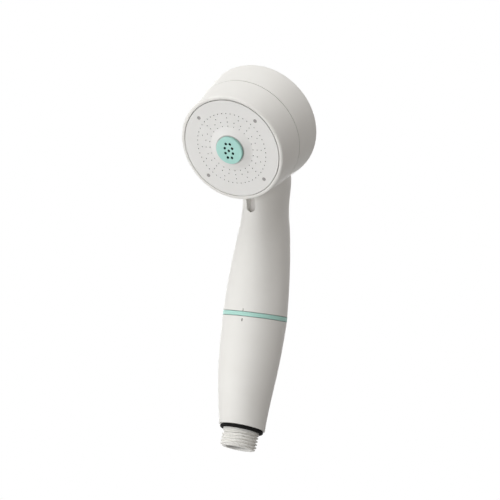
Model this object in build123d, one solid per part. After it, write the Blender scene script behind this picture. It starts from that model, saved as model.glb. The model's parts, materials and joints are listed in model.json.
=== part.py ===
from build123d import *
from math import cos, radians, sin, sqrt, tan
import os

# Handheld shower head with a filter cartridge in its handle.
# Sizes are in millimetres. The handle stands on Z and the spray face looks towards -Y.
# The origin is where the hose thread's axis crosses the handle's axis.

# Clearances
FIT = 0.05             # pieces of one body that seat on each other
SEAL_FIT = 0.05        # a seal and the wall that slides on it
MOVING_GAP = 0.3       # pieces that move past each other
STEM_PLAY = 0.4        # cartridge's outlet stem in its port

# Handle
RING_HEIGHT = 68.0     # middle of the accent ring above the origin
RING_RADIUS = 18.6
RING_THICKNESS = 2.3
WALL = 2.4
# Lower handle: height, how far the radius has come in from the ring's, how far forward the middle is
LOWER_STATIONS = [(49.5, 0.65, 0.45), (31.0, 2.1, 0.9), (17.1, 3.8, 0.45)]
# Upper handle's and neck's lines: height above the ring, then how far outside the ring's radius
UPPER_BACK = [(0, 0), (28, -0.8), (55, -1.4), (69, -1.6), (83, -6.4), (97, -18.4), (111, -38.9)]
UPPER_FRONT = [(0, 0), (19, 0.3), (45, 0.35), (53, 1.0), (60, 3.4), (67, 6.2), (79, 9.6), (93, 14.0),
               (111, 20.4)]
UPPER_SIDE = [(0, 0), (19, -1.1), (37, -3.0), (55, -5.9), (61, -7.2), (69, -7.8), (79, -6.4), (93, -5.8),
              (111, -8.9)]
UPPER_SECTIONS = 14
TICK_WIDTH = 0.6       # alignment marks above and below the ring
TICK_LENGTH = 1.6
TICK_DEPTH = 0.8
LOWER_TICK_OFFSET = 1.2        # from the edge of the lower handle
TICK_TURN = 4.3        # degrees to the right of the handle's front

# Hose end
HOSE_TILT = 9.7        # degrees that the hose leans forward of the handle
END_HEIGHT = 3.9       # handle's end face, up the hose axis from the origin
END_RADIUS = 13.4
END_WALL = 3.0
END_INSET = 1.4        # from the end's edge to the hollow inside it
STUB_LENGTH = 8.3      # thread's end, down the hose axis from the origin
HOSE_THREAD_RADIUS = 10.4775   # half of the G 1/2 major diameter
HOSE_THREAD_DEPTH = 1.162
HOSE_THREAD_PITCH = 1.814
HOSE_THREAD_TOP = 0.3          # upper end of the thread, up the hose axis
HOSE_THREAD_FOOT = 0.82        # share of the pitch that a crest takes at its foot
HOSE_THREAD_CREST = 0.17
HOSE_NECK_RADIUS = 10.4        # plain neck that carries the hose seal
HOSE_SEAL_SECTION = 1.05       # radius of the seal's round section, as for every seal here
INLET_RADIUS = 7.0
FLANGE_RADIUS = 10.95  # inside the handle, it holds the connector in the end wall
FLANGE_THICKNESS = 2.6
CONNECTOR_SEAL_SECTION = 0.7
STRAINER_RADIUS = 8.8
STRAINER_DEPTH = 2.2   # recess in the connector that takes the strainer
STRAINER_SHEET = 0.4
STRAINER_HOLE = 0.55
STRAINER_PITCH = 1.65
STRAINER_RINGS = 4
FRAME_BAR = 1.4

# Screwed joint between the handle halves
SOCKET_WALL = 2.6      # upper handle's wall round the screwed joint
SOCKET_DEPTH = 18.5    # from the upper handle's lower edge
HANDLE_LEAD = 4.0
HANDLE_TURNS = 2.0
HANDLE_THREAD_DEPTH = 0.9
HANDLE_THREAD_START = 8.0      # first thread above the accent ring's middle
COLLAR_WALL = 2.2
COLLAR_PLUG = 11.0     # how far the collar reaches into the lower handle
JOINT_SEAL_ABOVE_RING = 4.2
JOINT_SEAL_SECTION = 0.9

# Head and its front ring
FACE_FORWARD = 53.8    # middle of the spray face, in front of the handle's axis
FACE_ABOVE_RING = 88.8
FACE_TILT = 33.3       # degrees that the spray face looks down
PLATE_RADIUS = 28.9
PLATE_GAP = 0.4        # between the plate and the front ring
RIM_WIDTH = 2.0        # front ring round the plate, seen from the front
RIM_ROUND = 1.2
RIM_EDGE = 0.4
HEAD_FLARE = 5.4       # degrees that the head widens towards its back
SEAM_DEPTH = 18.6      # all depths are behind the spray face
SEAM_WIDTH = 0.44      # gap between the front ring and the rear of the head
REAR_DEPTH = 40.7
DOME_RISE = 4.6
REAR_ROUND = 6.0
NECK_BLEND = 6.5
LIP_THICKNESS = 1.8
FRONT_LEAD = 3.0
FRONT_TURNS = 2.0
FRONT_THREAD_DEPTH = 1.0
FRONT_THREAD_START = 15.8      # depth of the first thread
SPIGOT_DEPTH = 6.0     # front end of the head collar
SPIGOT_WALL = 2.4
HEAD_COLLAR_PLUG = 5.5
GROOVE_WIDTH = 5.5     # moulded groove down the neck's front, under the head
GROOVE_DEPTH = 3.8
GROOVE_FOOT_ABOVE_RING = 57.6  # lowest point of the groove
GROOVE_HEIGHT = 28.0
GROOVE_MARGIN = 1.0    # between the groove's cutter and the head

# Spray plate and what it carries
PLATE_THICKNESS = 2.2
PLATE_RIM_DEPTH = 4.2
PLATE_RIM_WIDTH = 2.0
FLANGE_OVERLAP = 1.2   # plate's edge behind the front ring's lip
HUMP_RADIUS = 12.7
HUMP_HEIGHT = 1.7
HUMP_BLEND = 6.0       # round at its foot
HUMP_CROWN = 2.5       # round at its top
HUMP_LAND = 0.55
NOZZLE_RADIUS = 8.0
NOZZLE_GAP = 0.18      # between the nozzle's side and the plate
NOZZLE_PROUD = 3.2
NOZZLE_SEAT = 0.3      # above the spray face
NOZZLE_STEM_RADIUS = 6.4
NOZZLE_BORE = 5.3
NOZZLE_FACE = 1.6
NOZZLE_EDGE = 0.35
NOZZLE_HOLE = 0.8
NOZZLE_HOLES = [(0, 0), (2.3, 1.5), (1.3, 4.1)]   # the others mirror these
NOZZLE_SEAL_SECTION = 0.45
SPRAY_HOLE = 0.31
SPRAY_ROWS = [(21.1, 50, 3.6), (18.5, 16, 0), (16.0, 24, 0), (13.5, 24, 0)]   # radius, count, first angle
PEG_CIRCLE = 24.8
PEG_COUNT = 4
PEG_RADIUS = 1.05
PEG_RECESS = 0.12
STANDOFF_RADIUS = 1.5
DISTRIBUTOR_DEPTH = 5.0
DISTRIBUTOR_THICKNESS = 2.0
DISTRIBUTOR_SLOTS = 8
SLOT_INNER = 10.0
SLOT_OUTER = 21.0
SLOT_WIDTH = 3.0
DISTRIBUTOR_MARGIN = 0.5

# Filter cartridge
SEAT_HEIGHT = 15.5     # support that carries the cartridge, above the origin
SEAT_THICKNESS = 3.0
SEAT_SPOKE = 3.0
SEAT_HUB = 5.5
SEAT_RIM = 1.2
PORT_ABOVE_RING = 42.0         # partition that takes the cartridge's outlet
PORT_THICKNESS = 3.0
PORT_BOSS_LENGTH = 8.0
PORT_BORE = 5.2
PORT_BOSS_WALL = 2.2
CARTRIDGE_GAP = 1.4    # water space round the cartridge in the collar
CARTRIDGE_HEADROOM = 1.5
CASE_WALL = 1.2
CAP_SKIRT = 0.9
CAP_HEIGHT = 5.0
CAP_FLOOR = 2.0
FOOT_RADIUS = 3.4
FOOT_LENGTH = 3.0
STEM_BORE = 2.8
STEM_ENGAGED = 7.0
STEM_SEAL_SECTION = 0.6
STEM_SEALS = [2.0, 4.5]        # from the stem's top
WINDOW_COLUMNS = 6
WINDOW_ROWS = 4
WINDOW_WIDTH = 5.0
WINDOW_BAR = 4.0
SLEEVE_WALL = 0.5
CORE_BORE = 3.6

# Threads and seals
THREAD_PLAY = 0.35     # between a crest and the wall opposite
RIDGE_FOOT = 0.4       # share of the lead that a ridge takes at its foot
RIDGE_CREST = 0.22
RIDGE_ROOT = 0.25      # how far a ridge is let into its wall
SEAL_SIDE = 0.2        # room beside a seal in its groove

# Sizes that follow
LOWER_TOP = RING_HEIGHT - RING_THICKNESS / 2 - MOVING_GAP
UPPER_FOOT = RING_HEIGHT + RING_THICKNESS / 2 + MOVING_GAP
SOCKET_BORE = RING_RADIUS - SOCKET_WALL
SOCKET_TOP = UPPER_FOOT + SOCKET_DEPTH
COLLAR_CORE = SOCKET_BORE - HANDLE_THREAD_DEPTH - THREAD_PLAY
COLLAR_BORE = COLLAR_CORE - COLLAR_WALL
COLLAR_SEAT = RING_RADIUS - WALL
COLLAR_TOP = SOCKET_TOP - 2 * MOVING_GAP
CASE_RADIUS = COLLAR_BORE - CARTRIDGE_GAP
CASE_INSIDE = CASE_RADIUS - CAP_SKIRT - FIT - CASE_WALL
PORT_HEIGHT = RING_HEIGHT + PORT_ABOVE_RING
CAP_TOP = PORT_HEIGHT - PORT_BOSS_LENGTH - CARTRIDGE_HEADROOM
CASE_FOOT = SEAT_HEIGHT + SEAT_THICKNESS + FIT
STEM_RADIUS = PORT_BORE - STEM_PLAY
STEM_TOP = PORT_HEIGHT - PORT_BOSS_LENGTH + STEM_ENGAGED
LIP_RADIUS = PLATE_RADIUS + PLATE_GAP
FRONT_RADIUS = LIP_RADIUS + RIM_WIDTH
FRONT_BORE = PLATE_RADIUS + FLANGE_OVERLAP + MOVING_GAP
SPIGOT_CORE = FRONT_BORE - FRONT_THREAD_DEPTH - THREAD_PLAY
SPIGOT_BORE = SPIGOT_CORE - SPIGOT_WALL
SEAM_GAP = SEAM_WIDTH / 2
DISTRIBUTOR_RADIUS = SPIGOT_BORE - DISTRIBUTOR_MARGIN
FLANGE_FOOT = END_HEIGHT + END_WALL + FIT
FLANGE_TOP = FLANGE_FOOT + FLANGE_THICKNESS
END_BORE = HOSE_THREAD_RADIUS + FIT
CONNECTOR_SEAL_HEIGHT = END_HEIGHT + END_WALL / 2
NOZZLE_SEAL_RADIUS = (NOZZLE_RADIUS + NOZZLE_STEM_RADIUS) / 2

# Frames of the hose end and of the head
HOSE = Plane(
    origin=(0, 0, 0),
    x_dir=(1, 0, 0),
    z_dir=(0, sin(radians(HOSE_TILT)), cos(radians(HOSE_TILT))),
)
HEAD = Plane(
    origin=(0, -FACE_FORWARD, RING_HEIGHT + FACE_ABOVE_RING),
    x_dir=(1, 0, 0),
    z_dir=(0, -cos(radians(FACE_TILT)), -sin(radians(FACE_TILT))),
)


def turned(*points):
    """Solid of revolution about Z through points of radius and height."""
    return revolve(Plane.XZ * make_face(Polyline(*points, close=True)), Axis.Z)


def tube(outer, inner, foot, top):
    """Round tube on Z."""
    return turned((inner, foot), (outer, foot), (outer, top), (inner, top))


def rod(radius, foot, top):
    """Round bar on Z."""
    return turned((0, foot), (radius, foot), (radius, top), (0, top))


def seal_ring(middle_radius, section, height):
    """Rubber ring of round section on Z."""
    return Pos(0, 0, height) * Torus(middle_radius, section)


def seal_groove(wall_radius, section, height):
    """Groove in a round bar for a seal that fills the gap to a wall outside it."""
    floor = wall_radius - SEAL_FIT - 2 * section - FIT
    half_width = section + SEAL_SIDE
    return tube(wall_radius, floor, height - half_width, height + half_width)


def fitted_seal(wall_radius, section, height):
    """Seal that lies in that groove."""
    return seal_ring(wall_radius - SEAL_FIT - section, section, height)


def ridge(wall_radius, depth, lead, turns, foot, foot_share=RIDGE_FOOT, crest_share=RIDGE_CREST):
    """Right-hand thread ridge on Z. It stands inwards from the wall when the depth is negative."""
    root = -RIDGE_ROOT if depth > 0 else RIDGE_ROOT
    half_crest = lead * crest_share / 2
    half_root = lead * foot_share / 2 + (foot_share - crest_share) * lead / 2 * RIDGE_ROOT / abs(depth)
    outline = Polyline(
        (root, -half_root), (depth, -half_crest), (depth, half_crest), (root, half_root), close=True,
    )
    path = Helix(pitch=lead, height=lead * turns, radius=wall_radius)
    start = Plane(origin=path @ 0, x_dir=(1, 0, 0), z_dir=path % 0)
    return Pos(0, 0, foot) * sweep(start * make_face(outline), path=path, is_frenet=True)


def round_corner(profile, corner, radius):
    """Round one corner of a flat profile."""
    nearest = profile.vertices().sort_by_distance((*corner, 0))[0]
    return fillet(nearest, radius)


def slope(points, index):
    """Slope of a smooth curve at one of the points that it goes through."""
    before = points[max(index - 1, 0)]
    after = points[min(index + 1, len(points) - 1)]
    return (after[1] - before[1]) / (after[0] - before[0])


def smooth(points, place):
    """Value of a smooth curve through points at a place along it."""
    index = max(number for number in range(len(points) - 1) if points[number][0] <= place)
    start, low = points[index]
    end, high = points[index + 1]
    span = end - start
    share = (place - start) / span
    bend = share ** 2 * (3 - 2 * share)
    leaving = slope(points, index) * span * share * (1 - share) ** 2
    arriving = slope(points, index + 1) * span * share ** 2 * (1 - share)
    return low + (high - low) * bend + leaving - arriving


def oval(height, back, front, half_width):
    """Section of the handle at a height, in its distances from the axis."""
    form = scale(Circle(1), by=(half_width, (back + front) / 2, 1))
    return Pos(0, (back - front) / 2, height) * form


def lower_form(inset):
    """Lower handle's tapering form inside a wall, or its outside where the wall is nothing."""
    reach = RING_RADIUS - inset
    sections = [oval(LOWER_TOP, reach, reach, reach)]
    for height, drop, forward in LOWER_STATIONS:
        radius = reach - drop
        sections.append(oval(height, radius - forward, radius + forward, radius))
    end_radius = END_RADIUS - min(inset, END_INSET)
    end_height = END_HEIGHT + (END_WALL if inset else 0)
    sections.append(HOSE * oval(end_height, end_radius, end_radius, end_radius))
    return loft(sections)


def upper_form(inset):
    """Upper handle's and neck's form inside a wall."""
    reach = RING_RADIUS - inset
    foot = UPPER_FOOT - RING_HEIGHT
    step = (UPPER_BACK[-1][0] - foot) / (UPPER_SECTIONS - 1)
    sections = []
    for number in range(UPPER_SECTIONS):
        above_ring = foot + number * step
        sizes = [reach + smooth(line, above_ring) for line in (UPPER_BACK, UPPER_FRONT, UPPER_SIDE)]
        sections.append(oval(RING_HEIGHT + above_ring, *sizes))
    return loft(sections)


def head_radius(depth):
    """Head's outer radius at a depth behind the spray face."""
    return FRONT_RADIUS + depth * tan(radians(HEAD_FLARE))


def drum(front_depth, inset):
    """Head's form inside a wall, in the head's frame, from a depth back to its dome."""
    rear = inset - REAR_DEPTH
    front_corner = (head_radius(front_depth) - inset, -front_depth)
    rear_corner = (head_radius(REAR_DEPTH) - inset, rear)
    crown = (0, rear - DOME_RISE)
    side = Polyline((0, -front_depth), front_corner, rear_corner)
    dome = ThreePointArc(rear_corner, dome_point(rear_corner, crown), crown)
    profile = make_face([*side.edges(), dome, Line(crown, (0, -front_depth))])
    profile = round_corner(profile, rear_corner, REAR_ROUND - min(inset, REAR_ROUND / 2))
    return revolve(Plane.XZ * profile, Axis.Z)


def dome_point(edge, crown):
    """Point half way out along a dome's arc, which is square to the axis at its crown."""
    rise = edge[1] - crown[1]
    radius = (edge[0] ** 2 + rise ** 2) / (2 * rise)
    half = edge[0] / 2
    return (half, crown[1] + radius - sqrt(radius ** 2 - half ** 2))


def ring_space():
    """Room in the head's frame that the front ring turns in and comes forward through."""
    seam = -SEAM_DEPTH - SEAM_GAP
    return rod(head_radius(-seam) + MOVING_GAP, seam, REAR_DEPTH)


def groove_form(grow):
    """Round-ended groove on the neck's front, or the pad behind it when grown by a wall."""
    outline = SlotOverall(GROOVE_HEIGHT + 2 * grow, GROOVE_WIDTH + 2 * grow, rotation=90)
    middle = RING_HEIGHT + GROOVE_FOOT_ABOVE_RING + GROOVE_HEIGHT / 2
    floor = RING_RADIUS + smooth(UPPER_FRONT, GROOVE_FOOT_ABOVE_RING) - GROOVE_DEPTH - grow
    return Pos(0, -floor, middle) * extrude(Plane.XZ * outline, FACE_FORWARD)


def tick(height):
    """Cutter for an alignment mark on the handle's front."""
    mark = Pos(0, -RING_RADIUS, height) * Box(TICK_WIDTH, 2 * TICK_DEPTH, TICK_LENGTH)
    return Rot(0, 0, TICK_TURN) * mark


def head_shell():
    """Rear of the head, neck and upper handle in one moulding."""
    neck = upper_form(0)
    head = HEAD * drum(0, 0)
    outside = neck + head
    outside = fillet(new_edges(neck, head, combined=outside), NECK_BLEND)
    outside -= HEAD * ring_space()
    below_socket = rod(2 * RING_RADIUS, UPPER_FOOT - WALL, SOCKET_TOP)
    shell = outside - (upper_form(WALL) - below_socket)
    shell -= HEAD * drum(SEAM_DEPTH - WALL, WALL)
    thread_foot = RING_HEIGHT + HANDLE_THREAD_START + HANDLE_LEAD / 2
    thread = ridge(SOCKET_BORE, -HANDLE_THREAD_DEPTH, HANDLE_LEAD, HANDLE_TURNS, thread_foot)
    shell -= rod(SOCKET_BORE, UPPER_FOOT - WALL, SOCKET_TOP) - thread
    under_head = HEAD * drum(0, -GROOVE_MARGIN)
    shell += outside & (groove_form(WALL) - under_head)
    shell -= groove_form(0) - under_head
    return shell - tick(UPPER_FOOT + TICK_LENGTH / 2)


def head_collar():
    """Threaded collar bonded into the head's mouth."""
    mouth = -SEAM_DEPTH - SEAM_GAP
    plug_radius = head_radius(-mouth) - WALL - FIT
    plug_end = mouth - HEAD_COLLAR_PLUG
    form = turned(
        (SPIGOT_BORE, plug_end), (plug_radius, plug_end), (plug_radius, mouth),
        (SPIGOT_CORE, mouth), (SPIGOT_CORE, -SPIGOT_DEPTH), (SPIGOT_BORE, -SPIGOT_DEPTH),
    )
    form += ridge(SPIGOT_CORE, FRONT_THREAD_DEPTH, FRONT_LEAD, FRONT_TURNS, -FRONT_THREAD_START)
    return HEAD * form


def cartridge_socket():
    """Partition in the upper handle with the port that the cartridge plugs into."""
    slab = rod(2 * RING_RADIUS, PORT_HEIGHT, PORT_HEIGHT + PORT_THICKNESS)
    boss_foot = PORT_HEIGHT - PORT_BOSS_LENGTH
    form = upper_form(WALL + FIT) & slab
    form += rod(PORT_BORE + PORT_BOSS_WALL, boss_foot, PORT_HEIGHT)
    return form - rod(PORT_BORE, boss_foot, PORT_HEIGHT + PORT_THICKNESS)


def front_ring():
    """Ring screwed on the head that holds the spray plate."""
    rear = -SEAM_DEPTH + SEAM_GAP
    front_corner = (head_radius(0), 0)
    profile = make_face(Polyline(
        (LIP_RADIUS, 0), front_corner, (head_radius(-rear), rear), (FRONT_BORE, rear),
        (FRONT_BORE, -LIP_THICKNESS), (LIP_RADIUS, -LIP_THICKNESS), close=True,
    ))
    profile = round_corner(profile, front_corner, RIM_ROUND)
    profile = round_corner(profile, (LIP_RADIUS, 0), RIM_EDGE)
    form = revolve(Plane.XZ * profile, Axis.Z)
    thread_foot = -FRONT_THREAD_START + FRONT_LEAD / 2
    form += ridge(FRONT_BORE, -FRONT_THREAD_DEPTH, FRONT_LEAD, FRONT_TURNS, thread_foot)
    return HEAD * form


def spray_plate():
    """Plate with the fine spray holes and the raised middle round the centre nozzle."""
    hole = NOZZLE_STEM_RADIUS + FIT
    seat = NOZZLE_RADIUS + NOZZLE_GAP
    flange = PLATE_RADIUS + FLANGE_OVERLAP
    flange_front = -LIP_THICKNESS - MOVING_GAP
    rim_inside = PLATE_RADIUS - PLATE_RIM_WIDTH
    foot_of_hump = (HUMP_RADIUS, 0)
    top_of_hump = (seat + HUMP_LAND, HUMP_HEIGHT)
    profile = make_face(Polyline(
        (hole, -PLATE_THICKNESS), (rim_inside, -PLATE_THICKNESS), (rim_inside, -PLATE_RIM_DEPTH),
        (flange, -PLATE_RIM_DEPTH), (flange, flange_front), (PLATE_RADIUS, flange_front),
        (PLATE_RADIUS, 0), foot_of_hump, top_of_hump, (seat, HUMP_HEIGHT),
        (seat, NOZZLE_SEAT), (hole, NOZZLE_SEAT), close=True,
    ))
    profile = round_corner(profile, foot_of_hump, HUMP_BLEND)
    profile = round_corner(profile, top_of_hump, HUMP_CROWN)
    form = revolve(Plane.XZ * profile, Axis.Z)
    spray_hole = Cylinder(SPRAY_HOLE, 4 * PLATE_THICKNESS)
    for radius, count, turn in SPRAY_ROWS:
        form -= [place * spray_hole for place in PolarLocations(radius, count, turn)]
    peg_hole = Cylinder(PEG_RADIUS + FIT, 4 * PLATE_THICKNESS)
    form -= [place * peg_hole for place in peg_places()]
    return HEAD * form


def peg_places():
    """Where the distributor's pegs come through the plate."""
    return PolarLocations(PEG_CIRCLE, PEG_COUNT, 180 / PEG_COUNT)


def centre_nozzle():
    """Coloured nozzle in the middle of the plate, with its own holes."""
    foot = -DISTRIBUTOR_DEPTH + MOVING_GAP
    under = NOZZLE_SEAT + FIT
    front_corner = (NOZZLE_RADIUS, NOZZLE_PROUD)
    profile = make_face(Polyline(
        (0, NOZZLE_PROUD), front_corner, (NOZZLE_RADIUS, under), (NOZZLE_STEM_RADIUS, under),
        (NOZZLE_STEM_RADIUS, foot), (NOZZLE_BORE, foot), (NOZZLE_BORE, NOZZLE_PROUD - NOZZLE_FACE),
        (0, NOZZLE_PROUD - NOZZLE_FACE), close=True,
    ))
    profile = round_corner(profile, front_corner, NOZZLE_EDGE)
    form = revolve(Plane.XZ * profile, Axis.Z)
    half_groove = NOZZLE_SEAL_SECTION + FIT
    form -= tube(
        NOZZLE_SEAL_RADIUS + half_groove, NOZZLE_SEAL_RADIUS - half_groove, under, under + 2 * half_groove,
    )
    hole = Cylinder(NOZZLE_HOLE, 4 * NOZZLE_PROUD)
    for right, up in NOZZLE_HOLES:
        places = {(right, up), (-right, up), (right, -up), (-right, -up)}
        form -= [Pos(across, along, 0) * hole for across, along in sorted(places)]
    return HEAD * form


def nozzle_o_ring():
    """Seal under the centre nozzle."""
    return HEAD * seal_ring(NOZZLE_SEAL_RADIUS, NOZZLE_SEAL_SECTION, NOZZLE_SEAT + FIT + NOZZLE_SEAL_SECTION)


def distributor():
    """Disc that spreads the water behind the plate. Its four pegs show on the plate's face."""
    front = -DISTRIBUTOR_DEPTH
    form = tube(DISTRIBUTOR_RADIUS, NOZZLE_BORE, front - DISTRIBUTOR_THICKNESS, front)
    slot = extrude(SlotCenterToCenter(SLOT_OUTER - SLOT_INNER, SLOT_WIDTH), 4 * DISTRIBUTOR_THICKNESS)
    slot_middle = (SLOT_OUTER + SLOT_INNER) / 2
    slots = PolarLocations(slot_middle, DISTRIBUTOR_SLOTS, 180 / DISTRIBUTOR_SLOTS)
    form -= [place * Pos(0, 0, front - 2 * DISTRIBUTOR_THICKNESS) * slot for place in slots]
    standoff = rod(STANDOFF_RADIUS, front - DISTRIBUTOR_THICKNESS / 2, -PLATE_THICKNESS - FIT)
    peg = standoff + rod(PEG_RADIUS, front, -PEG_RECESS)
    form += [place * peg for place in peg_places()]
    return HEAD * form


def plate_gasket():
    """Flat seal between the plate's rim and the head collar."""
    inside = max(PLATE_RADIUS - PLATE_RIM_WIDTH, SPIGOT_BORE) + FIT
    return HEAD * tube(SPIGOT_CORE, inside, -SPIGOT_DEPTH + SEAL_FIT, -PLATE_RIM_DEPTH - FIT)


def accent_ring():
    """Coloured ring between the handle halves."""
    half = RING_THICKNESS / 2
    return tube(RING_RADIUS, SOCKET_BORE + MOVING_GAP, RING_HEIGHT - half, RING_HEIGHT + half)


def lower_shell():
    """Lower handle, with the end wall that holds the hose connector."""
    form = lower_form(0) - lower_form(WALL)
    form -= rod(COLLAR_SEAT, LOWER_TOP - COLLAR_PLUG, LOWER_TOP + WALL)
    form -= HOSE * rod(END_BORE, 0, FLANGE_TOP)
    return form - tick(LOWER_TOP - LOWER_TICK_OFFSET - TICK_LENGTH / 2)


def handle_collar():
    """Threaded collar bonded into the lower handle's mouth."""
    plug_foot = LOWER_TOP - COLLAR_PLUG + FIT
    plug_radius = COLLAR_SEAT - FIT
    form = turned(
        (COLLAR_BORE, plug_foot), (plug_radius, plug_foot), (plug_radius, LOWER_TOP),
        (COLLAR_CORE, LOWER_TOP), (COLLAR_CORE, COLLAR_TOP), (COLLAR_BORE, COLLAR_TOP),
    )
    form -= seal_groove(SOCKET_BORE, JOINT_SEAL_SECTION, RING_HEIGHT + JOINT_SEAL_ABOVE_RING)
    thread_foot = RING_HEIGHT + HANDLE_THREAD_START
    return form + ridge(COLLAR_CORE, HANDLE_THREAD_DEPTH, HANDLE_LEAD, HANDLE_TURNS, thread_foot)


def joint_o_ring():
    """Seal between the handle halves."""
    return fitted_seal(SOCKET_BORE, JOINT_SEAL_SECTION, RING_HEIGHT + JOINT_SEAL_ABOVE_RING)


def hose_connector():
    """Threaded stub that the hose nut screws on. Its flange sits inside the handle's end wall."""
    core = HOSE_THREAD_RADIUS - HOSE_THREAD_DEPTH
    tip = -STUB_LENGTH
    form = turned(
        (INLET_RADIUS, tip), (core, tip), (core, HOSE_THREAD_TOP), (HOSE_NECK_RADIUS, HOSE_THREAD_TOP),
        (HOSE_NECK_RADIUS, END_HEIGHT), (HOSE_THREAD_RADIUS, END_HEIGHT), (HOSE_THREAD_RADIUS, FLANGE_FOOT),
        (FLANGE_RADIUS, FLANGE_FOOT), (FLANGE_RADIUS, FLANGE_TOP), (INLET_RADIUS, FLANGE_TOP),
    )
    form -= rod(STRAINER_RADIUS, FLANGE_TOP - STRAINER_DEPTH, FLANGE_TOP)
    form -= seal_groove(END_BORE, CONNECTOR_SEAL_SECTION, CONNECTOR_SEAL_HEIGHT)
    thread_foot = tip - HOSE_THREAD_PITCH
    turns = (HOSE_THREAD_TOP - thread_foot) / HOSE_THREAD_PITCH - HOSE_THREAD_FOOT
    thread = ridge(
        core, HOSE_THREAD_DEPTH, HOSE_THREAD_PITCH, turns, thread_foot, HOSE_THREAD_FOOT, HOSE_THREAD_CREST,
    )
    chamfer_top = tip + 2 * HOSE_THREAD_DEPTH
    thread &= turned((0, tip), (core, tip), (core + chamfer_top - tip, chamfer_top), (2 * core, chamfer_top),
                     (2 * core, HOSE_THREAD_TOP), (0, HOSE_THREAD_TOP))
    return HOSE * (form + thread)


def hose_o_ring():
    """Black seal round the foot of the hose thread."""
    middle = HOSE_NECK_RADIUS + FIT + HOSE_SEAL_SECTION
    return HOSE * seal_ring(middle, HOSE_SEAL_SECTION, END_HEIGHT - FIT - HOSE_SEAL_SECTION)


def connector_o_ring():
    """Seal between the connector and the handle's end wall."""
    return HOSE * fitted_seal(END_BORE, CONNECTOR_SEAL_SECTION, CONNECTOR_SEAL_HEIGHT)


def strainer_mesh():
    """Holed steel disc that stops grit at the inlet."""
    foot = FLANGE_TOP - STRAINER_DEPTH + FIT
    form = rod(STRAINER_RADIUS - FIT, foot, foot + STRAINER_SHEET)
    hole = Cylinder(STRAINER_HOLE, 4 * FLANGE_TOP)
    form -= hole
    for ring in range(1, STRAINER_RINGS + 1):
        form -= [place * hole for place in PolarLocations(ring * STRAINER_PITCH, 6 * ring)]
    return HOSE * form


def strainer_frame():
    """Cross-barred ring that holds the strainer disc down."""
    foot = FLANGE_TOP - STRAINER_DEPTH + 2 * FIT + STRAINER_SHEET
    outside = STRAINER_RADIUS - FIT
    form = tube(outside, INLET_RADIUS, foot, FLANGE_TOP)
    bar = Box(2 * INLET_RADIUS + FRAME_BAR, FRAME_BAR, FLANGE_TOP - foot)
    middle = (foot + FLANGE_TOP) / 2
    form += [Pos(0, 0, middle) * Rot(0, 0, turn) * bar for turn in (0, 90)]
    return HOSE * form


def cartridge_seat():
    """Spoked support in the lower handle that the cartridge stands on."""
    top = SEAT_HEIGHT + SEAT_THICKNESS
    form = lower_form(WALL + FIT) & rod(2 * RING_RADIUS, SEAT_HEIGHT, top)
    windows = tube(CASE_RADIUS - SEAT_RIM, SEAT_HUB, SEAT_HEIGHT, top)
    spoke = Box(2 * CASE_RADIUS, SEAT_SPOKE, 4 * SEAT_HEIGHT)
    windows -= [Rot(0, 0, turn) * spoke for turn in (45, 135)]
    return form - windows - rod(FOOT_RADIUS + FIT, SEAT_HEIGHT, top)


def cartridge_case():
    """Windowed tube round the filter."""
    form = tube(CASE_RADIUS - CAP_SKIRT - FIT, CASE_INSIDE, *filter_span())
    lowest = CASE_FOOT + CAP_HEIGHT
    span = (CAP_TOP - CAP_HEIGHT - lowest) / WINDOW_ROWS
    window = Box(2 * CASE_RADIUS, WINDOW_WIDTH, span - WINDOW_BAR)
    for row in range(WINDOW_ROWS):
        height = lowest + span * (row + 0.5)
        for column in range(WINDOW_COLUMNS // 2):
            form -= Pos(0, 0, height) * Rot(0, 0, column * 360 / WINDOW_COLUMNS) * window
    return form


def cartridge_bottom_cap():
    """Lower cap, with the foot that stands in the support."""
    form = rod(CASE_RADIUS, CASE_FOOT, CASE_FOOT + CAP_HEIGHT)
    form -= rod(CASE_RADIUS - CAP_SKIRT, CASE_FOOT + CAP_FLOOR, CASE_FOOT + CAP_HEIGHT)
    return form + rod(FOOT_RADIUS, CASE_FOOT - FOOT_LENGTH, CASE_FOOT + CAP_FLOOR / 2)


def cartridge_top_cap():
    """Upper cap, with the outlet stem that plugs into the port."""
    form = rod(CASE_RADIUS, CAP_TOP - CAP_HEIGHT, CAP_TOP)
    form -= rod(CASE_RADIUS - CAP_SKIRT, CAP_TOP - CAP_HEIGHT, CAP_TOP - CAP_FLOOR)
    form += rod(STEM_RADIUS, CAP_TOP - CAP_FLOOR / 2, STEM_TOP)
    for below_top in STEM_SEALS:
        form -= seal_groove(PORT_BORE, STEM_SEAL_SECTION, STEM_TOP - below_top)
    return form - rod(STEM_BORE, CAP_TOP - CAP_HEIGHT, STEM_TOP)


def stem_o_rings():
    """Pair of seals on the outlet stem."""
    return Part() + [fitted_seal(PORT_BORE, STEM_SEAL_SECTION, STEM_TOP - below) for below in STEM_SEALS]


def filter_sleeve():
    """Cloth wrapped round the filter core."""
    outside = CASE_INSIDE - FIT
    return tube(outside, outside - SLEEVE_WALL, *filter_span())


def filter_core():
    """Hollow block of filter medium."""
    return tube(CASE_INSIDE - 2 * FIT - SLEEVE_WALL, CORE_BORE, *filter_span())


def filter_span():
    """Foot and top of the case and the filter between the caps."""
    return (CASE_FOOT + CAP_FLOOR + FIT, CAP_TOP - CAP_FLOOR - FIT)


NODES = [
    head_shell, head_collar, cartridge_socket, front_ring, spray_plate, centre_nozzle, nozzle_o_ring,
    distributor, plate_gasket, accent_ring, lower_shell, handle_collar, joint_o_ring, hose_connector,
    hose_o_ring, connector_o_ring, strainer_mesh, strainer_frame, cartridge_seat, cartridge_case,
    cartridge_bottom_cap, cartridge_top_cap, stem_o_rings, filter_sleeve, filter_core,
]


def main():
    """Write every piece."""
    os.makedirs("parts", exist_ok=True)
    for make in NODES:
        export_step(make(), f"parts/{make.__name__}.step")


if __name__ == "__main__":
    main()
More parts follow.
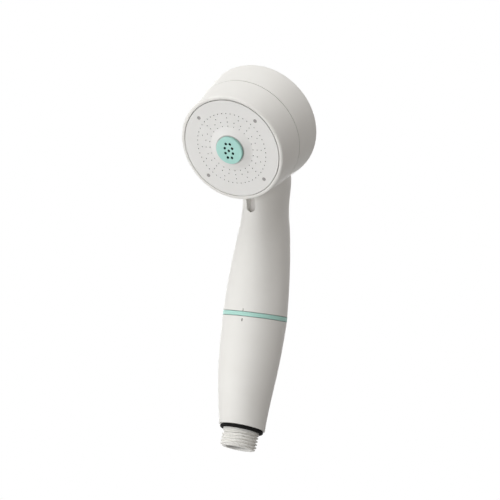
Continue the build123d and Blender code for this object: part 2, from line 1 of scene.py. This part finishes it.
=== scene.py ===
import json
from math import cos, pi, radians, sin

import bpy
from mathutils import Matrix, Vector


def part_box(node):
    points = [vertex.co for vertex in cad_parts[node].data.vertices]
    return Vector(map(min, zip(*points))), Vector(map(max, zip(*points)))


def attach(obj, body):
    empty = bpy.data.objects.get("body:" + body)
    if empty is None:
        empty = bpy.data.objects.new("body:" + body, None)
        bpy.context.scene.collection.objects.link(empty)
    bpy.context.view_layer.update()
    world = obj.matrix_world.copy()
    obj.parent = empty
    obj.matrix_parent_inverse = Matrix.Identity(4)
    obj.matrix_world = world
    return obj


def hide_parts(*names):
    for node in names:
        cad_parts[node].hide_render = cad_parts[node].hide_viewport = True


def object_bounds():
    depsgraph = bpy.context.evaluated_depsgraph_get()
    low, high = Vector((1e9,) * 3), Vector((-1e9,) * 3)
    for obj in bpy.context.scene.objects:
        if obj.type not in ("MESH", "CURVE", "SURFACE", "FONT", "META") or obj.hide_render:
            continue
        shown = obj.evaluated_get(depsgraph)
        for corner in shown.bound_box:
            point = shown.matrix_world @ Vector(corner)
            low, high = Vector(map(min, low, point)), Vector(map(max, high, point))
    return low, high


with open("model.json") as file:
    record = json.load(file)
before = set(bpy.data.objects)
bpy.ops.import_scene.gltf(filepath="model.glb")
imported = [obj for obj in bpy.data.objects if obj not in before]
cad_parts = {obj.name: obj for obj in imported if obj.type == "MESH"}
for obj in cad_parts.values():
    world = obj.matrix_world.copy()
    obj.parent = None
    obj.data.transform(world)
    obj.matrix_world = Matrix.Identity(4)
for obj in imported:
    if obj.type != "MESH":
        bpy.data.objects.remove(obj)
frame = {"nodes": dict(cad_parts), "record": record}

# Handheld shower head: looks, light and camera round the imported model, in metres
CAD_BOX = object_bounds()
ORIGIN = Vector((0, 0, 0))
UPWARD = Vector((0, 0, 1))

# Camera
CAMERA_TURN = radians(27.24)      # round the object from its front, towards +X
CAMERA_RISE = radians(-3.96)
CAMERA_ROLL = radians(7.02)
CAMERA_DISTANCE = 1.203
CAMERA_ASIDE = 0.0029             # how far the aim lies right of the picture's middle
CAMERA_BELOW = 0.038              # and below it
CAMERA_LENS = 150.86              # millimetres on a sensor 36 wide
CAMERA_CLIP = (0.05, 50)
RING_HEIGHT = sum(corner.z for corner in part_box("accent_ring")) / 2

# Hose stub, heights up its own axis
STUB_TILT = radians(9.7)          # the hose leans forward of the handle
STUB_SIDES = 224
STUB_BORE = 0.0070
STUB_TIP = -0.0083
STUB_EDGE = 0.0003                # rounds the edges of its end
STUB_CORE = 0.0093155
STUB_CREST = 0.0104775
STUB_PITCH = 0.001814
THREAD_TOP = 0.0003
THREAD_FOOT = 0.92                # share of the pitch that the thread takes at its foot
THREAD_CREST = 0.12               # and at its top
THREAD_STEP = 0.00009
STUB_NECK = 0.0104
STUB_SHOULDER = 0.0039
STUB_FLANGE = 0.00695
STUB_FLANGE_RADIUS = 0.01095
STUB_TOP = 0.00955
STUB_RECESS = 0.0088
STUB_RECESS_DEPTH = 0.0022
STUB_SHARP = radians(50)
STUB_AXIS = Vector((0, sin(STUB_TILT), cos(STUB_TILT)))
BORE_SHADE_DEPTH = (STUB_TIP + 0.0003, STUB_TIP + 0.0024)        # where the painted shade in the bore begins and is full
# colour of the painted shade in the bore
BORE_SHADE = (0.17, 0.165, 0.16)

# Alignment mark in the lower handle
MARK_TURN = radians(4.3)
MARK_RADIUS = 0.0186
MARK_BELOW = 0.0020               # its middle, below the lower handle's edge
MARK_REACH = (0.0013, 0.0011)     # how far from its middle the darkening ends and is full
MARK_DEPTH = (0.0184, 0.0182)     # how far from the handle's axis the darkening begins and is full
# darker colour inside the alignment mark
MARK_DARK = (0.2, 0.19, 0.18)

# Groove under the head
GROOVE_SIDES = (0.0030, 0.0028)   # how far from the middle the painted shade on its floor ends and is full
GROOVE_FLOOR = (-0.0180, -0.0176)         # how far forward it ends and is full
GROOVE_BACK = (-0.0171, -0.0172)  # the inside of the neck stays unshaded
GROOVE_TOP = (0.1400, 0.1390)     # how high up it ends and is full
# colour of the painted shade on the groove's floor
GROOVE_SHADE = (0.82, 0.80, 0.78)

# Spray face, distances in front of it
FACE_MIDDLE = Vector((0, -0.0538, 0.1568))
FACE_TILT = radians(33.3)
FACE_NORMAL = Vector((0, -cos(FACE_TILT), -sin(FACE_TILT)))
PLATE_SHADE_DEPTH = (-0.00008, -0.0003)         # where the painted shade in the spray holes begins and is full
PLATE_BACK = -0.0022              # the plate's back stays unshaded
PLATE_HOLES = 0.025               # the spray holes lie nearer the face's axis
SEAM_REACH = (0.0090, 0.0085)     # how far from the axis the painted shade in the seam round the nozzle ends and is full
SEAM_FLOOR = (0.0002, 0.0004)     # where it begins and is full
SEAM_SHADE = 0.55                 # how strong that painted shade is
NOZZLE_SHADE_DEPTH = (0.00315, 0.0030)          # where the painted shade in the nozzle's holes begins and is full
NOZZLE_INSIDE = 0.0055            # the nozzle's holes lie nearer the face's axis
# softness of the edge of the painted shade in the holes
SHADE_FADE = 0.0002

# Looks
NOISE_RANGE = (0.3, 0.7)          # most of the noise lies between these
PLASTIC_CLOUD = 0.014             # sizes of the clouding, the uneven gloss and the grain
PLASTIC_GLOSS = 0.004
PLASTIC_GRAIN = 0.00035
PLASTIC_RELIEF = 0.000012         # depth of the grain
# colour of the painted shade in the spray holes
SPRAY_HOLE_SHADE = (0.16, 0.15, 0.14)
# colour of the painted shade in the nozzle's holes
NOZZLE_HOLE_SHADE = (0.003, 0.05, 0.038)
SHELL_GLOSS = (0.42, 0.54)        # least and most roughness
SHELL_WHITE = ((0.844, 0.838, 0.805), (0.864, 0.860, 0.829))
RING_MINT = ((0.46, 0.77, 0.69), (0.49, 0.80, 0.72))
NOZZLE_MINT = ((0.455, 0.785, 0.715), (0.485, 0.815, 0.745))

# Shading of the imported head
SHARP_EDGE = radians(32)
WELD_REACH = 1e-7

# Light
LAMPS = [                         # name, right, up and towards the camera, size, level, tint
    ("left", -1.0, -0.35, 0.4, 0.7, 0.47, (1, 1, 1)),
    ("left_front", -0.5, -0.3, 1.2, 0.7, 0.36, (1, 1, 1)),
    ("top", 0.1, 1.0, 0.2, 0.8, 0.37, (1, 1, 1)),
    ("top_left", -0.5, 0.9, 0.3, 0.8, 0.44, (1, 1, 1)),
    ("right", 1.0, 0.2, 0.3, 0.7, 0.175, (1, 0.97, 0.94)),
    ("rear", -0.1, 0.05, -1.3, 0.8, 0.38, (1, 1, 1)),
]
FLOOR_DROP = 0.60                 # below the lowest point of the hose end
FLOOR_SIZE = 8.0
FLOOR_PALE = (0.88, 0.88, 0.88)
FLOOR_LIFT = 0.52                 # makes the pale floor white to the camera, apart from its shadow
FLOOR_BOUNCE = (0.47, 0.46, 0.45)         # its colour for the light that it sends back up
SHADOW_REACH = (0.75, 1.6)        # how far off the floor starts to fade into the white ground, and ends
AMBIENT = 0.10
AMBIENT_TINT = (1.0, 0.88, 0.81)


def new_material(name):
    """New material, its node tree and its shader."""
    material = bpy.data.materials.new(name)
    material.use_nodes = True
    tree = material.node_tree
    shader = tree.nodes["Principled BSDF"]
    return material, tree, shader


def add_node(tree, kind, settings=None, **inputs):
    """Node with its settings, and its inputs as values or as links from other sockets."""
    node = tree.nodes.new(kind)
    for name, value in (settings or {}).items():
        setattr(node, name, value)
    for name, value in inputs.items():
        socket = node.inputs[name.replace("_", " ")]
        if isinstance(value, bpy.types.NodeSocket):
            tree.links.new(value, socket)
        else:
            socket.default_value = value
    return node


def noise(tree, size, detail):
    """Even noise over the object's own place, with features of a size in metres."""
    place = add_node(tree, "ShaderNodeTexCoord").outputs["Object"]
    return add_node(tree, "ShaderNodeTexNoise", Vector=place, Scale=1 / size, Detail=detail).outputs["Fac"]


def spread(tree, value, low, high):
    """Noise spread from low to high."""
    node = add_node(tree, "ShaderNodeMapRange", Value=value)
    node.inputs["From Min"].default_value = NOISE_RANGE[0]
    node.inputs["From Max"].default_value = NOISE_RANGE[1]
    node.inputs["To Min"].default_value = low
    node.inputs["To Max"].default_value = high
    return node.outputs["Result"]


def between(tree, factor, first, second):
    """Colour between two colours."""
    node = add_node(tree, "ShaderNodeMix", {"data_type": "RGBA"})
    tree.links.new(factor, node.inputs["Factor"])
    node.inputs["A"].default_value = (*first, 1)
    node.inputs["B"].default_value = (*second, 1)
    return node.outputs["Result"]


def relief(tree, shader, height, depth):
    """Fine unevenness of the surface, its depth in metres."""
    bump = add_node(tree, "ShaderNodeBump", Height=height, Strength=1.0, Distance=depth)
    tree.links.new(bump.outputs["Normal"], shader.inputs["Normal"])


def moulded_plastic(name, dark, light, roughness, specular, darkening=None):
    """Moulded plastic: faint clouding, a fine eroded grain and uneven gloss.

    The darkening is a function that gives how far a point is darkened, and the darker colour: painted
    shade in the hollows, and the darker alignment mark.
    """
    material, tree, shader = new_material(name)
    cloud = spread(tree, noise(tree, PLASTIC_CLOUD, 3), 0, 1)
    colour = between(tree, cloud, dark, light)
    if darkening:
        # mixes in the painted shade of the hollows, and the darker alignment mark
        amount, dark_colour = darkening(tree)
        mixed = add_node(tree, "ShaderNodeMix", {"data_type": "RGBA"})
        tree.links.new(amount, mixed.inputs["Factor"])
        tree.links.new(colour, mixed.inputs["A"])
        mixed.inputs["B"].default_value = (*dark_colour, 1)
        colour = mixed.outputs["Result"]
    tree.links.new(colour, shader.inputs["Base Color"])
    tree.links.new(spread(tree, noise(tree, PLASTIC_GLOSS, 4), *roughness), shader.inputs["Roughness"])
    shader.inputs["Specular IOR Level"].default_value = specular
    relief(tree, shader, noise(tree, PLASTIC_GRAIN, 3), PLASTIC_RELIEF)
    return material


def ramp(tree, value, start, end):
    """0 at the start and 1 at the end."""
    node = add_node(tree, "ShaderNodeMapRange", Value=value)
    node.inputs["From Min"].default_value = start
    node.inputs["From Max"].default_value = end
    return node.outputs["Result"]


def product(tree, first, second):
    """Product of two values."""
    node = add_node(tree, "ShaderNodeMath", {"operation": "MULTIPLY"})
    tree.links.new(first, node.inputs[0])
    tree.links.new(second, node.inputs[1])
    return node.outputs[0]


def axis_place(tree, start, direction):
    """How far a point lies along an axis from its start, and how far from the axis."""
    place = add_node(tree, "ShaderNodeTexCoord").outputs["Object"]
    offset = add_node(tree, "ShaderNodeVectorMath", {"operation": "SUBTRACT"})
    tree.links.new(place, offset.inputs[0])
    offset.inputs[1].default_value = start
    along = add_node(tree, "ShaderNodeVectorMath", {"operation": "DOT_PRODUCT"})
    tree.links.new(offset.outputs["Vector"], along.inputs[0])
    along.inputs[1].default_value = direction
    across = add_node(tree, "ShaderNodeVectorMath", {"operation": "CROSS_PRODUCT"})
    tree.links.new(offset.outputs["Vector"], across.inputs[0])
    across.inputs[1].default_value = direction
    away = add_node(tree, "ShaderNodeVectorMath", {"operation": "LENGTH"})
    tree.links.new(across.outputs["Vector"], away.inputs[0])
    return along.outputs["Value"], away.outputs["Value"]


def plate_painted_shade(tree):
    """Painted shade in the spray holes, and a little painted shade in the seam round the nozzle."""
    ahead, away = axis_place(tree, FACE_MIDDLE, FACE_NORMAL)
    below = ramp(tree, ahead, *PLATE_SHADE_DEPTH)
    in_front = ramp(tree, ahead, PLATE_BACK, PLATE_BACK + SHADE_FADE / 2)
    inside = ramp(tree, away, PLATE_HOLES, PLATE_HOLES - SHADE_FADE)
    holes = product(tree, product(tree, below, in_front), inside)
    seam = product(tree, ramp(tree, away, *SEAM_REACH), ramp(tree, ahead, *SEAM_FLOOR))
    amount = add_node(tree, "ShaderNodeMath", {"operation": "MULTIPLY_ADD"})
    tree.links.new(seam, amount.inputs[0])
    amount.inputs[1].default_value = SEAM_SHADE
    tree.links.new(holes, amount.inputs[2])
    return amount.outputs[0], SPRAY_HOLE_SHADE


def nozzle_painted_shade(tree):
    """Painted shade in the nozzle's holes."""
    ahead, away = axis_place(tree, FACE_MIDDLE, FACE_NORMAL)
    below = ramp(tree, ahead, *NOZZLE_SHADE_DEPTH)
    inside = ramp(tree, away, NOZZLE_INSIDE, NOZZLE_INSIDE - SHADE_FADE)
    return product(tree, below, inside), NOZZLE_HOLE_SHADE


def bore_painted_shade(tree):
    """Painted shade that darkens the hose stub's bore from its mouth inwards."""
    up, away = axis_place(tree, ORIGIN, STUB_AXIS)
    deep = ramp(tree, up, *BORE_SHADE_DEPTH)
    inside = ramp(tree, away, STUB_BORE + STUB_EDGE, STUB_BORE + STUB_EDGE / 3)
    return product(tree, deep, inside), BORE_SHADE


def mark_darkening(tree):
    """Darker colour inside the groove of the alignment mark in the lower handle."""
    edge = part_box("lower_shell")[1].z
    mark = Vector((MARK_RADIUS * sin(MARK_TURN), -MARK_RADIUS * cos(MARK_TURN), edge - MARK_BELOW))
    away = axis_place(tree, ORIGIN, UPWARD)[1]
    place = add_node(tree, "ShaderNodeTexCoord").outputs["Object"]
    apart = add_node(tree, "ShaderNodeVectorMath", {"operation": "DISTANCE"})
    tree.links.new(place, apart.inputs[0])
    apart.inputs[1].default_value = mark
    near = ramp(tree, apart.outputs["Value"], *MARK_REACH)
    return product(tree, near, ramp(tree, away, *MARK_DEPTH)), MARK_DARK


def groove_painted_shade(tree):
    """Painted shade on the floor of the groove under the head."""
    place = add_node(tree, "ShaderNodeTexCoord").outputs["Object"]
    parts = add_node(tree, "ShaderNodeSeparateXYZ", Vector=place)
    aside = add_node(tree, "ShaderNodeMath", {"operation": "ABSOLUTE"})
    tree.links.new(parts.outputs["X"], aside.inputs[0])
    amount = ramp(tree, parts.outputs["Y"], *GROOVE_FLOOR)
    amount = product(tree, amount, ramp(tree, parts.outputs["Y"], *GROOVE_BACK))
    amount = product(tree, amount, ramp(tree, aside.outputs[0], *GROOVE_SIDES))
    amount = product(tree, amount, ramp(tree, parts.outputs["Z"], *GROOVE_TOP))
    return amount, GROOVE_SHADE


def rubber(name):
    """Black seal rubber with a dull bloom."""
    material, tree, shader = new_material(name)
    bloom = spread(tree, noise(tree, 0.0016, 4), 0, 1)
    colour = between(tree, bloom, (0.010, 0.010, 0.010), (0.021, 0.0205, 0.020))
    tree.links.new(colour, shader.inputs["Base Color"])
    tree.links.new(spread(tree, noise(tree, 0.0009, 3), 0.55, 0.72), shader.inputs["Roughness"])
    shader.inputs["Specular IOR Level"].default_value = 0.02
    relief(tree, shader, noise(tree, 0.0003, 2), 0.00001)
    return material


def sheet_steel(name):
    """Etched steel sheet with fine scratches."""
    material, tree, shader = new_material(name)
    shader.inputs["Metallic"].default_value = 1.0
    tarnish = spread(tree, noise(tree, 0.003, 4), 0, 1)
    colour = between(tree, tarnish, (0.5, 0.5, 0.49), (0.64, 0.64, 0.62))
    tree.links.new(colour, shader.inputs["Base Color"])
    tree.links.new(spread(tree, noise(tree, 0.0012, 4), 0.28, 0.45), shader.inputs["Roughness"])
    relief(tree, shader, noise(tree, 0.00012, 4), 0.000006)
    return material


def cloudy_plastic(name):
    """Clear moulding with a slight haze."""
    material, tree, shader = new_material(name)
    haze = spread(tree, noise(tree, 0.008, 3), 0, 1)
    colour = between(tree, haze, (0.74, 0.78, 0.79), (0.8, 0.84, 0.85))
    tree.links.new(colour, shader.inputs["Base Color"])
    tree.links.new(spread(tree, noise(tree, 0.003, 3), 0.18, 0.3), shader.inputs["Roughness"])
    shader.inputs["Transmission Weight"].default_value = 0.65
    relief(tree, shader, noise(tree, 0.0008, 2), 0.00001)
    return material


def filter_cloth(name):
    """Non-woven cloth: pressed points in a close grid over loose fibres."""
    material, tree, shader = new_material(name)
    fuzz = spread(tree, noise(tree, 0.0006, 5), 0, 1)
    colour = between(tree, fuzz, (0.78, 0.78, 0.76), (0.87, 0.87, 0.85))
    tree.links.new(colour, shader.inputs["Base Color"])
    shader.inputs["Roughness"].default_value = 0.88
    place = add_node(tree, "ShaderNodeTexCoord").outputs["Object"]
    points = add_node(tree, "ShaderNodeTexVoronoi", Vector=place, Scale=900.0, Randomness=0.2)
    relief(tree, shader, points.outputs["Distance"], 0.00012)
    return material


def pressed_fibre(name):
    """Pressed filter fibre, in tangled strands."""
    material, tree, shader = new_material(name)
    strands = noise(tree, 0.0009, 6)
    tone = spread(tree, strands, 0, 1)
    colour = between(tree, tone, (0.7, 0.69, 0.64), (0.83, 0.82, 0.78))
    tree.links.new(colour, shader.inputs["Base Color"])
    shader.inputs["Roughness"].default_value = 0.92
    relief(tree, shader, strands, 0.0002)
    return material


def paint(materials):
    """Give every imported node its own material, or else that of its slot in the record."""
    slots = {entry["node"]: entry["material_slot"] for entry in frame["record"]["subparts"]}
    for name, node in frame["nodes"].items():
        node.data.materials.clear()
        node.data.materials.append(materials.get(name) or materials[slots[name]])


def even_normals(*names):
    """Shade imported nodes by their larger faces, across the seams of their curved faces."""
    for name in names:
        modifiers = frame["nodes"][name].modifiers
        modifiers.new("join", "WELD").merge_threshold = WELD_REACH
        modifiers.new("edges", "EDGE_SPLIT").split_angle = SHARP_EDGE
        modifiers.new("even", "WEIGHTED_NORMAL")


def make_materials():
    """Materials by slot, and by node for the nodes that have their own."""
    white = moulded_plastic("white_shell", *SHELL_WHITE, SHELL_GLOSS, 0.2)
    stub = moulded_plastic("white_stub", *SHELL_WHITE, SHELL_GLOSS, 0.2, darkening=bore_painted_shade)
    lower = moulded_plastic("white_lower", *SHELL_WHITE, SHELL_GLOSS, 0.2, darkening=mark_darkening)
    head = moulded_plastic("white_head", *SHELL_WHITE, SHELL_GLOSS, 0.2, darkening=groove_painted_shade)
    plate = moulded_plastic(
        "white_plate", (0.835, 0.833, 0.815), (0.85, 0.85, 0.834), (0.36, 0.46), 0.25, darkening=plate_painted_shade,
    )
    inner = moulded_plastic("white_inner", (0.78, 0.78, 0.76), (0.82, 0.82, 0.8), (0.5, 0.6), 0.3)
    mint = moulded_plastic("mint", *RING_MINT, (0.34, 0.44), 0.15)
    nozzle = moulded_plastic("mint_nozzle", *NOZZLE_MINT, (0.3, 0.4), 0.12, darkening=nozzle_painted_shade)
    grey = moulded_plastic("grey_inner", (0.34, 0.33, 0.32), (0.42, 0.41, 0.40), (0.5, 0.6), 0.3)
    return {
        "white_shell": white, "white_plate": plate, "white_inner": inner, "mint": mint, "grey_inner": grey,
        "clear_case": cloudy_plastic("clear_case"), "black_rubber": rubber("black_rubber"),
        "steel_mesh": sheet_steel("steel_mesh"), "filter_cloth": filter_cloth("filter_cloth"),
        "filter_fibre": pressed_fibre("filter_fibre"), "centre_nozzle": nozzle, "hose_connector": stub,
        "lower_shell": lower, "head_shell": head,
    }


def thread_share(turn, height):
    """How far the thread stands out there, from 0 in the root to 1 on the crest, with soft corners."""
    across = (height / STUB_PITCH - turn) % 1
    from_crest = 2 * abs(across - 0.5)
    share = (THREAD_FOOT - from_crest) / (THREAD_FOOT - THREAD_CREST)
    share = min(max(share, 0), 1)
    run_out = min(max((THREAD_TOP - height) / (STUB_PITCH / 2), 0), 1)
    return share * share * (3 - 2 * share) * run_out


def thread_row(height):
    """Radii round the thread at one height, with the lead-in chamfer at its tip."""
    chamfer = STUB_CORE + height - STUB_TIP
    radii = []
    for side in range(STUB_SIDES):
        radius = STUB_CORE + (STUB_CREST - STUB_CORE) * thread_share(side / STUB_SIDES, height)
        radii.append(max(min(radius, chamfer), STUB_CORE))
    return radii


def stub_rows():
    """Rings of the hose stub from its bore's mouth, over the outside and back, as radii and a height."""
    edge = STUB_EDGE
    rows = [
        ([STUB_BORE] * STUB_SIDES, STUB_TIP + edge),
        ([STUB_BORE + edge / 4] * STUB_SIDES, STUB_TIP + edge / 4),
        ([STUB_BORE + edge] * STUB_SIDES, STUB_TIP),
        ([STUB_CORE - edge] * STUB_SIDES, STUB_TIP),
        ([STUB_CORE - edge / 4] * STUB_SIDES, STUB_TIP + edge / 4),
    ]
    steps = round((THREAD_TOP - STUB_TIP - edge) / THREAD_STEP)
    for step in range(steps + 1):
        height = STUB_TIP + edge + (THREAD_TOP - STUB_TIP - edge) * step / steps
        rows.append((thread_row(height), height))
    above_thread = [
        (STUB_NECK, THREAD_TOP + edge), (STUB_NECK, STUB_SHOULDER), (STUB_CREST, STUB_SHOULDER),
        (STUB_CREST, STUB_FLANGE), (STUB_FLANGE_RADIUS, STUB_FLANGE), (STUB_FLANGE_RADIUS, STUB_TOP),
        (STUB_RECESS, STUB_TOP), (STUB_RECESS, STUB_TOP - STUB_RECESS_DEPTH),
        (STUB_BORE, STUB_TOP - STUB_RECESS_DEPTH),
    ]
    rows += [([radius] * STUB_SIDES, height) for radius, height in above_thread]
    return rows


def hose_stub(material):
    """Finer hose stub with a smooth thread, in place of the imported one."""
    sideways = Vector((1, 0, 0))
    backward = Vector((0, cos(STUB_TILT), -sin(STUB_TILT)))
    rows = stub_rows()
    points = []
    for radii, height in rows:
        for side, radius in enumerate(radii):
            angle = 2 * pi * side / STUB_SIDES
            outward = sideways * cos(angle) + backward * sin(angle)
            points.append(outward * radius + STUB_AXIS * height)
    faces = []
    for row in range(len(rows)):
        start = row * STUB_SIDES
        above = (row + 1) % len(rows) * STUB_SIDES
        for side in range(STUB_SIDES):
            beside = (side + 1) % STUB_SIDES
            faces.append((start + side, start + beside, above + beside, above + side))
    mesh = bpy.data.meshes.new("hose_stub")
    mesh.from_pydata(points, [], faces)
    mesh.polygons.foreach_set("use_smooth", [True] * len(faces))
    mesh.set_sharp_from_angle(angle=STUB_SHARP)
    mesh.materials.append(material)
    stub = bpy.data.objects.new("hose_stub", mesh)
    bpy.context.scene.collection.objects.link(stub)
    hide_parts("hose_connector")
    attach(stub, "lower_handle")


def camera_frame():
    """Camera's right, up and back directions."""
    back = Vector((
        sin(CAMERA_TURN) * cos(CAMERA_RISE), -cos(CAMERA_TURN) * cos(CAMERA_RISE), sin(CAMERA_RISE),
    ))
    right = Vector((cos(CAMERA_TURN), sin(CAMERA_TURN), 0))
    up = back.cross(right)
    rolled_right = right * cos(CAMERA_ROLL) + up * sin(CAMERA_ROLL)
    rolled_up = up * cos(CAMERA_ROLL) - right * sin(CAMERA_ROLL)
    return rolled_right, rolled_up, back


def make_camera():
    """Camera at the photo's viewing angle."""
    right, up, back = camera_frame()
    data = bpy.data.cameras.new("camera")
    data.lens = CAMERA_LENS
    data.clip_start, data.clip_end = CAMERA_CLIP
    camera = bpy.data.objects.new("camera", data)
    aim = Vector((0, 0, RING_HEIGHT))
    place = aim - right * CAMERA_ASIDE + up * CAMERA_BELOW + back * CAMERA_DISTANCE
    turn = Matrix((right, up, back)).transposed().to_4x4()
    camera.matrix_world = Matrix.Translation(place) @ turn
    bpy.context.scene.collection.objects.link(camera)
    bpy.context.scene.camera = camera


def softbox(name, aside, above, towards, size, level, tint):
    """Square lamp placed by the camera's directions, in metres from the object's middle.

    The level is how bright it makes a white card that faces it at the object.
    """
    right, up, back = camera_frame()
    middle = (CAD_BOX[0] + CAD_BOX[1]) / 2
    offset = right * aside + up * above + back * towards
    data = bpy.data.lights.new(name, "AREA")
    data.size = size
    data.energy = level * pi * pi * offset.length_squared
    data.color = tint
    lamp = bpy.data.objects.new(name, data)
    lamp.location = middle + offset
    lamp.rotation_mode = "QUATERNION"
    lamp.rotation_quaternion = offset.to_track_quat("Z", "Y")
    bpy.context.scene.collection.objects.link(lamp)


def seen_ray(tree):
    """1 for rays from the camera, off gloss and through clear plastic, which see the white ground."""
    path = add_node(tree, "ShaderNodeLightPath")
    total = path.outputs["Is Camera Ray"]
    for kind in ("Is Glossy Ray", "Is Transmission Ray"):
        node = add_node(tree, "ShaderNodeMath", {"operation": "MAXIMUM"})
        tree.links.new(total, node.inputs[0])
        tree.links.new(path.outputs[kind], node.inputs[1])
        total = node.outputs[0]
    return total


def make_world():
    """White ground, and a dim even light on the object."""
    world = bpy.data.worlds.new("world")
    world.use_nodes = True
    tree = world.node_tree
    tree.nodes.clear()
    ambient = add_node(tree, "ShaderNodeBackground", Color=(*AMBIENT_TINT, 1), Strength=AMBIENT)
    ground = add_node(tree, "ShaderNodeBackground", Color=(1, 1, 1, 1), Strength=1.0)
    choice = add_node(tree, "ShaderNodeMixShader", Fac=seen_ray(tree))
    tree.links.new(ambient.outputs[0], choice.inputs[1])
    tree.links.new(ground.outputs[0], choice.inputs[2])
    output = add_node(tree, "ShaderNodeOutputWorld")
    tree.links.new(choice.outputs[0], output.inputs["Surface"])
    bpy.context.scene.world = world


def floor_material():
    """Pale floor that keeps a shadow near the object and fades into the white ground further off."""
    material, tree, shader = new_material("floor")
    tree.nodes.remove(shader)
    output = tree.nodes["Material Output"]
    place = add_node(tree, "ShaderNodeNewGeometry").outputs["Position"]
    distance = add_node(tree, "ShaderNodeVectorMath", {"operation": "LENGTH"})
    tree.links.new(place, distance.inputs[0])
    fade = add_node(tree, "ShaderNodeMapRange", {"interpolation_type": "SMOOTHSTEP"})
    tree.links.new(distance.outputs["Value"], fade.inputs["Value"])
    fade.inputs["From Min"].default_value = SHADOW_REACH[0]
    fade.inputs["From Max"].default_value = SHADOW_REACH[1]
    pale = add_node(tree, "ShaderNodeBsdfDiffuse", Color=(*FLOOR_PALE, 1))
    lift = add_node(tree, "ShaderNodeEmission", Color=(1, 1, 1, 1), Strength=FLOOR_LIFT)
    near = add_node(tree, "ShaderNodeAddShader")
    tree.links.new(pale.outputs[0], near.inputs[0])
    tree.links.new(lift.outputs[0], near.inputs[1])
    ground = add_node(tree, "ShaderNodeEmission", Color=(1, 1, 1, 1), Strength=1.0)
    shown = add_node(tree, "ShaderNodeMixShader", Fac=fade.outputs["Result"])
    tree.links.new(near.outputs[0], shown.inputs[1])
    tree.links.new(ground.outputs[0], shown.inputs[2])
    dim = add_node(tree, "ShaderNodeBsdfDiffuse", Color=(*FLOOR_BOUNCE, 1))
    choice = add_node(tree, "ShaderNodeMixShader", Fac=seen_ray(tree))
    tree.links.new(dim.outputs[0], choice.inputs[1])
    tree.links.new(shown.outputs[0], choice.inputs[2])
    tree.links.new(choice.outputs[0], output.inputs["Surface"])
    return material


def make_floor():
    """Floor under the object."""
    half = FLOOR_SIZE / 2
    height = CAD_BOX[0].z - FLOOR_DROP
    mesh = bpy.data.meshes.new("floor")
    corners = [(-half, -half, height), (half, -half, height), (half, half, height), (-half, half, height)]
    mesh.from_pydata(corners, [], [(0, 1, 2, 3)])
    floor = bpy.data.objects.new("floor", mesh)
    mesh.materials.append(floor_material())
    bpy.context.scene.collection.objects.link(floor)


materials = make_materials()
paint(materials)
hose_stub(materials["hose_connector"])
even_normals("head_shell")
make_world()
make_floor()
for lamp in LAMPS:
    softbox(*lamp)
make_camera()
bpy.context.scene.view_settings.view_transform = "Standard"
